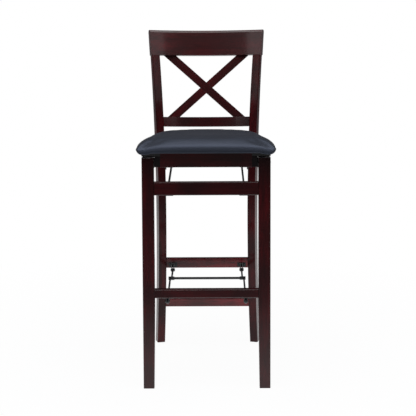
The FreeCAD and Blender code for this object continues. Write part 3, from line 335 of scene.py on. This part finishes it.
def washer(name, centre):
    """A flat ring across the X axis, its outer face at centre."""
    shape = bmesh.new()
    bmesh.ops.create_circle(shape, segments=WASHER_SEGMENTS, radius=WASHER_RADIUS)
    bmesh.ops.create_circle(shape, segments=WASHER_SEGMENTS, radius=WASHER_BORE)
    bmesh.ops.bridge_loops(shape, edges=shape.edges[:])
    bmesh.ops.rotate(shape, matrix=Matrix.Rotation(math.radians(90), 3, "Y"), verts=shape.verts)
    ring = bmesh.ops.extrude_face_region(shape, geom=shape.faces[:])["geom"]
    moved = [item for item in ring if isinstance(item, bmesh.types.BMVert)]
    inward = -math.copysign(WASHER_THICK, centre[0])
    bmesh.ops.translate(shape, vec=(inward, 0, 0), verts=moved)
    bmesh.ops.translate(shape, vec=centre, verts=shape.verts)
    bmesh.ops.recalc_face_normals(shape, faces=shape.faces)
    return as_mesh(name, shape)


# Painted shade: matt black pieces that keep the gaps by the front legs dark.
gap_shade = matt_black("matt_black_gap_shade")
for label, side in SIDES:
    name = f"leg_shade_block_{label}"
    place = (side * SHADE_BLOCK_OUT, FRONT_PIVOT_BACK + SHADE_BLOCK_BEHIND_PIVOT, BOARD_UNDERSIDE - SHADE_BLOCK[2] / 2)
    trim(name, block(name, place, SHADE_BLOCK, SHADE_BLOCK_EDGE), gap_shade, "seat")
    name = f"leg_washer_{label}"
    pivot = (side * WASHER_OUT, FRONT_PIVOT_BACK, FRONT_PIVOT_HEIGHT)
    trim(name, washer(name, pivot), gap_shade, "seat")


# Felt pads: thin grey wool felt, one glued on the sawn top of each front leg. Their pale grey is a painted
# highlight for the light caught along the legs' top edges. The fibres lie every way, so the felt is dull,
# and its edges are cut square.
PAD = (0.0364, 0.0231, 0.0007)
PAD_EDGE = 0.0002
PAD_OUT = 0.18
PAD_BACK = -0.20915
LEG_TOP = 0.722
FELT_FIBRES_PER_METRE = 700
FELT_FIBRE = 0.0003


def highlight_felt(name):
    """Grey wool felt, its pale colour a painted highlight."""
    material, tree, output = new_material(name)
    fibre = noise(tree, add(tree, "TexCoord").outputs["Object"], FELT_FIBRES_PER_METRE, 4)
    surface(
        tree,
        output,
        {
            "Base Color": between(tree, fibre, "#8d7c7e", "#c0b0b2").outputs["Color"],
            "Roughness": 0.95,
            "IOR": 1.45,
            "Sheen Weight": 0.2,
            "Normal": relief(tree, fibre, 0.4, FELT_FIBRE),
        },
    )
    return material


# Painted highlight: pale grey pads on the leg tops stand in for the light caught by their top edges.
felt = highlight_felt("pale_felt_painted_highlight")
for label, side in SIDES:
    name = f"leg_highlight_felt_{label}"
    place = (side * PAD_OUT, PAD_BACK, LEG_TOP + PAD[2] / 2)
    trim(name, block(name, place, PAD, PAD_EDGE), felt, "front_frame")


# Pivot heads: the button heads of the pivot pins and bolts, turned from steel with a round driving socket
# and dipped in the same black enamel. They sit on the flat heads that hold the seat and the legs.
HEAD_RADIUS = 0.0062
HEAD_HEIGHT = 0.0019
HEAD_CUT = 0.86
HEAD_RIM = 0.12
HEAD_SEGMENTS = 36
HEAD_RINGS = 24
SOCKET_DEPTH = 0.0011
SEAT_PIVOT_OUT = 0.1627
SEAT_PIVOT_BACK = 0.123156
SEAT_PIVOT_HEIGHT = 0.708
LEG_PIVOT_OUT = 0.1979


def cut_off(shape, height, **side):
    """Cuts a shape level at a height and clears one side of the cut."""
    whole = shape.verts[:] + shape.edges[:] + shape.faces[:]
    bmesh.ops.bisect_plane(shape, geom=whole, plane_co=(0, 0, height), plane_no=(0, 0, 1), **side)


def button_head(name, centre):
    """A low dome with a socket, standing on the X plane of centre and facing outwards. The dome is shaded
    smooth, its rim and the socket's floor are flat."""
    shape = bmesh.new()
    bmesh.ops.create_uvsphere(shape, u_segments=HEAD_SEGMENTS, v_segments=HEAD_RINGS, radius=1)
    cut_off(shape, 0, clear_inner=True)
    cut_off(shape, HEAD_CUT, clear_outer=True)
    rims = [edge for edge in shape.edges if edge.is_boundary]
    bmesh.ops.holes_fill(shape, edges=rims, sides=0)
    bmesh.ops.scale(shape, vec=(HEAD_RADIUS, HEAD_RADIUS, HEAD_HEIGHT / HEAD_CUT), verts=shape.verts)
    top = max(shape.faces, key=lambda face: face.calc_center_median().z)
    bmesh.ops.inset_region(shape, faces=[top], thickness=HEAD_RADIUS * HEAD_RIM)
    sunk = bmesh.ops.extrude_face_region(shape, geom=[top])["geom"]
    bmesh.ops.delete(shape, geom=[top], context="FACES_ONLY")
    moved = [item for item in sunk if isinstance(item, bmesh.types.BMVert)]
    bmesh.ops.translate(shape, vec=(0, 0, -SOCKET_DEPTH), verts=moved)
    quarter = math.copysign(math.radians(90), centre[0])
    bmesh.ops.rotate(shape, matrix=Matrix.Rotation(quarter, 3, "Y"), verts=shape.verts)
    bmesh.ops.translate(shape, vec=centre, verts=shape.verts)
    bmesh.ops.recalc_face_normals(shape, faces=shape.faces)
    for face in shape.faces:
        face.smooth = len(face.verts) < 5
    return as_mesh(name, shape)


for kind, out, back, height, body in (
    ("seat_pivot_head", SEAT_PIVOT_OUT, SEAT_PIVOT_BACK, SEAT_PIVOT_HEIGHT, "rear_frame"),
    ("leg_pivot_head", LEG_PIVOT_OUT, FRONT_PIVOT_BACK, FRONT_PIVOT_HEIGHT, "front_frame"),
):
    for label, side in SIDES:
        name = f"{kind}_{label}"
        trim(name, button_head(name, (side * out, back, height)), enamel, body)


# The seat cushion: black upholstery vinyl pulled over foam and stapled under the board. The vinyl has a
# fine pebbled grain and a soft sheen; it is tight over the crown and rolls over the edges.
WELD = 0.00002
REMESH = 0.005
STAPLED_VOXELS = 0.6
SIM_FRAMES = 20
SWELL_CAP = 0.005
PEBBLES_PER_METRE = 900
PEBBLE_DEPTH = 0.0004
WEAR_PER_METRE = 14

# How settle and hang shape it: shares of the solid's width, depth and height, and lengths in metres.
FRONT_RISE = 1.16
CROWN_FALL = 0.745
REAR_FILL = 0.18
REAR_FILL_FROM = 0.84
SETTLED_AT = 0.5
SIDE_SPREAD = 0.994
REAR_DRAW = 0.06
ROLL_SPREAD = 0.05
ROLL_HEIGHT = 0.008
ROLL_TOP = 0.024
CORNER_SPREAD = 0.03
CORNER_DEPTH = 0.08
HANG = 0.0045
HANG_FROM = 0.16
HANG_WIDTH = 0.03
HANG_DEPTH = 0.3
HANG_RISE = 0.035


def cushion_mesh():
    """The CAD cushion's form, welded, ready to be blown up a little."""
    mesh = nodes["seat_cushion"].data.copy()
    shell = bmesh.new()
    shell.from_mesh(mesh)
    bmesh.ops.remove_doubles(shell, verts=shell.verts, dist=WELD)
    shell.to_mesh(mesh)
    shell.free()
    return mesh


def eased(share):
    """0 to 1 without a kink at either end."""
    share = min(max(share, 0), 1)
    return share * share * (3 - 2 * share)


def reach(mesh):
    """The mesh's front, its depth and its base."""
    front = min(corner.co.y for corner in mesh.vertices)
    depth = max(corner.co.y for corner in mesh.vertices) - front
    return front, depth, min(corner.co.z for corner in mesh.vertices)


def settle(mesh):
    """Raises the front brow and the rear edge, lowers the crown, draws the rear in and rounds the roll over
    the board's edge, as vinyl pulled over foam lies."""
    front, depth, base = reach(mesh)
    for corner in mesh.vertices:
        share = (corner.co.y - front) / depth
        rise = corner.co.z - base
        roll = ROLL_SPREAD * eased(rise / ROLL_HEIGHT)
        roll *= 1 - eased((rise - ROLL_HEIGHT) / (ROLL_TOP - ROLL_HEIGHT))
        square = CORNER_SPREAD * (1 - eased(share / CORNER_DEPTH))
        corner.co.x *= SIDE_SPREAD - REAR_DRAW * eased(share) + roll + square
        full = FRONT_RISE + (CROWN_FALL - FRONT_RISE) * eased(share / SETTLED_AT)
        full += REAR_FILL * eased((share - REAR_FILL_FROM) / (1 - REAR_FILL_FROM))
        corner.co.z = base + rise * full


def hang(mesh):
    """Lets the front corners hang a little below the board's top, where the vinyl is turned under."""
    front, depth, base = reach(mesh)
    for corner in mesh.vertices:
        outside = eased((abs(corner.co.x) - HANG_FROM) / HANG_WIDTH)
        forward = 1 - eased((corner.co.y - front) / depth / HANG_DEPTH)
        low = 1 - eased((corner.co.z - base) / HANG_RISE)
        corner.co.z -= HANG * outside * forward * low


def with_modifiers_applied(piece):
    """Replaces the piece's mesh with the one its modifiers make."""
    bpy.context.view_layer.update()
    graph = bpy.context.evaluated_depsgraph_get()
    done = bpy.data.meshes.new_from_object(piece.evaluated_get(graph))
    piece.modifiers.clear()
    piece.data = done


def swell(piece):
    """Blows the foam up against its cover and keeps each point within SWELL_CAP of where it was."""
    low = min(corner.co.z for corner in piece.data.vertices)
    held = piece.vertex_groups.new(name="stapled")
    for corner in piece.data.vertices:
        if corner.co.z < low + REMESH * STAPLED_VOXELS:
            held.add([corner.index], 1, "REPLACE")
    before = [corner.co.copy() for corner in piece.data.vertices]
    cloth = piece.modifiers.new("cloth", "CLOTH")
    cloth.settings.use_pressure = True
    cloth.settings.uniform_pressure_force = 4
    cloth.settings.vertex_group_mass = "stapled"
    cloth.settings.effector_weights.gravity = 0
    cloth.settings.tension_stiffness = 40
    cloth.settings.compression_stiffness = 40
    cloth.settings.bending_stiffness = 2
    for moment in range(1, SIM_FRAMES + 1):
        bpy.context.scene.frame_set(moment)
    with_modifiers_applied(piece)
    for corner, old in zip(piece.data.vertices, before):
        moved = corner.co - old
        if moved.length > SWELL_CAP:
            corner.co = old + moved.normalized() * SWELL_CAP


cushion = as_object("seat_pad", cushion_mesh())
remesh = cushion.modifiers.new("voxels", "REMESH")
remesh.mode = "VOXEL"
remesh.voxel_size = REMESH
remesh.use_smooth_shade = True
with_modifiers_applied(cushion)
settle(cushion.data)
swell(cushion)
hang(cushion.data)
soften = cushion.modifiers.new("soften", "SMOOTH")
soften.iterations = 10
soften.factor = 0.5
smooth = cushion.modifiers.new("finer", "SUBSURF")
smooth.levels = 1
smooth.render_levels = 1
with_modifiers_applied(cushion)
cushion.data.polygons.foreach_set("use_smooth", [True] * len(cushion.data.polygons))


def black_vinyl(name):
    """Black upholstery vinyl with a pebbled grain."""
    material, tree, output = new_material(name)
    place = add(tree, "TexCoord").outputs["Object"]
    pebbles = add(
        tree,
        "TexVoronoi",
        {"Vector": place, "Scale": PEBBLES_PER_METRE, "Randomness": 1},
        feature="DISTANCE_TO_EDGE",
    )
    wear = noise(tree, place, WEAR_PER_METRE, 3)
    surface(
        tree,
        output,
        {
            "Base Color": between(tree, wear, "#16181d", "#1d2027").outputs["Color"],
            "Roughness": spread(tree, wear, 0.49, 0.59),
            "IOR": 1.5,
            "Specular Tint": paint("#cbdaff"),
            "Sheen Weight": 0.05,
            "Sheen Roughness": 0.5,
            "Normal": relief(tree, pebbles.outputs["Distance"], 0.25, PEBBLE_DEPTH),
        },
    )
    return material


cushion.data.materials.clear()
cushion.data.materials.append(black_vinyl("black_upholstery_vinyl"))
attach(cushion, "seat")
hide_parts("seat_cushion")


# The studio: a pale floor that keeps the stool's shadow, a white surround, and soft lights. The surround
# is bright behind and beside the stool and dim in front of it, as around a product on a white sweep.
FLOOR_SIDE = 30
FLOOR_FRONT = -3
NEAR_WHITE = 0.96
NEAR_WHITE_WITHIN = 0.4
WHITE_BEYOND = 1.5
REFLECTED_WHITE = 0.9
NEAR_GLOW = 1.3
FAR_GLOW = 0.15
FRONT_FADE = (-3, -0.7)
FAR_FADE = (1.6, 4.2)
HORIZON = (-0.02, 0.12)
HORIZON_GLOW = 0.5
SKY_GLOW = 0.06
DIM_TO_BRIGHT = (-0.3, 0.3)
FRONT_SHARE = 0.05

floor_shape = bmesh.new()
bmesh.ops.create_grid(floor_shape, x_segments=1, y_segments=1, size=FLOOR_SIDE / 2)
bmesh.ops.translate(floor_shape, vec=(0, FLOOR_SIDE / 2 + FLOOR_FRONT, 0), verts=floor_shape.verts)
floor = as_object("floor", as_mesh("floor", floor_shape))
material, tree, output = new_material("white_paper_sweep")
in_sight = add(tree, "LightPath").outputs["Is Camera Ray"]
spot = add(tree, "TexCoord").outputs["Object"]
away = add(tree, "VectorMath", {0: spot}, operation="LENGTH").outputs["Value"]
depth = add(tree, "SeparateXYZ", {0: spot}).outputs["Y"]
paper = add(tree, "BsdfDiffuse", {"Color": paint("#e4e8ee")})
front_fade = spread(tree, depth, 0, 1, *FRONT_FADE)
far_fade = spread(tree, depth, NEAR_GLOW, FAR_GLOW, *FAR_FADE)
bounce = add(tree, "Math", {0: front_fade, 1: far_fade}, operation="MULTIPLY")
seen_glow = add(tree, "Mix", {0: in_sight, 2: bounce.outputs[0], 3: 1})
glow = add(tree, "Emission", {"Color": paint("#ffffff"), "Strength": seen_glow.outputs[0]})
whitened = spread(tree, away, NEAR_WHITE, 1, NEAR_WHITE_WITHIN, WHITE_BEYOND)
share = add(tree, "Mix", {0: in_sight, 2: REFLECTED_WHITE, 3: whitened})
sweep = add(tree, "MixShader", {0: share.outputs[0], 1: paper.outputs[0], 2: glow.outputs[0]})
tree.links.new(sweep.outputs[0], output.inputs["Surface"])
floor.data.materials.append(material)

world = bpy.data.worlds.new("white_surround")
bpy.context.scene.world = world
world.use_nodes = True
tree = world.node_tree
tree.nodes.clear()
output = add(tree, "OutputWorld")
in_sight = add(tree, "LightPath").outputs["Is Camera Ray"]
way = add(tree, "SeparateXYZ", {0: add(tree, "TexCoord").outputs["Generated"]})
dome = spread(tree, way.outputs["Z"], HORIZON_GLOW, SKY_GLOW, *HORIZON)
front_dim = spread(tree, way.outputs["Y"], FRONT_SHARE, 1, *DIM_TO_BRIGHT)
lit = add(tree, "Math", {0: dome, 1: front_dim}, operation="MULTIPLY")
seen = add(tree, "Background", {"Color": paint("#ffffff"), "Strength": 1})
lighting = add(tree, "Background", {"Color": paint("#f4f7ff"), "Strength": lit.outputs[0]})
mixed = add(tree, "MixShader", {0: in_sight, 1: lighting.outputs[0], 2: seen.outputs[0]})
tree.links.new(mixed.outputs[0], output.inputs["Surface"])


def soft_box(name, place, aim, width, height, power):
    """A rectangular studio light at place, turned to aim."""
    lamp = bpy.data.lights.new(name, "AREA")
    lamp.shape = "RECTANGLE"
    lamp.size = width
    lamp.size_y = height
    lamp.energy = power
    box = bpy.data.objects.new(name, lamp)
    box.location = place
    box.rotation_mode = "QUATERNION"
    box.rotation_quaternion = (Vector(aim) - Vector(place)).to_track_quat("-Z", "Y")
    bpy.context.scene.collection.objects.link(box)


BACK_MIDDLE = (0, 0, 0.9)
soft_box("light_above", (0, -0.7, 3.4), (0, 0, 0.6), width=3.6, height=2.6, power=135)
soft_box("light_left", (-1.45, -3.2, 2.25), BACK_MIDDLE, width=0.55, height=0.9, power=4.4)
soft_box("light_right", (1.45, -3.2, 2.25), BACK_MIDDLE, width=0.55, height=0.9, power=3.5)


# The camera: a long lens above the stool's top, nearly four and a half metres in front of it, looking
# twelve degrees down, and rolled and turned by a fraction of a degree.
CAMERA_PLACE = (0.0222, -4.4642, 1.4671)
FAR_CLIP = 60
LENS = 121.15
SENSOR = 36
PITCH = 12
YAW = 0.2275
ROLL = 0.28

lens = bpy.data.cameras.new("camera")
lens.lens = LENS
lens.sensor_width = SENSOR
lens.clip_end = FAR_CLIP
camera = bpy.data.objects.new("camera", lens)
camera.location = CAMERA_PLACE
camera.rotation_mode = "QUATERNION"
aimed = Euler((math.radians(90 - PITCH), 0, math.radians(YAW))).to_quaternion()
camera.rotation_quaternion = aimed @ Euler((0, 0, math.radians(-ROLL))).to_quaternion()
bpy.context.scene.collection.objects.link(camera)
bpy.context.scene.camera = camera
bpy.context.scene.view_settings.view_transform = "Standard"
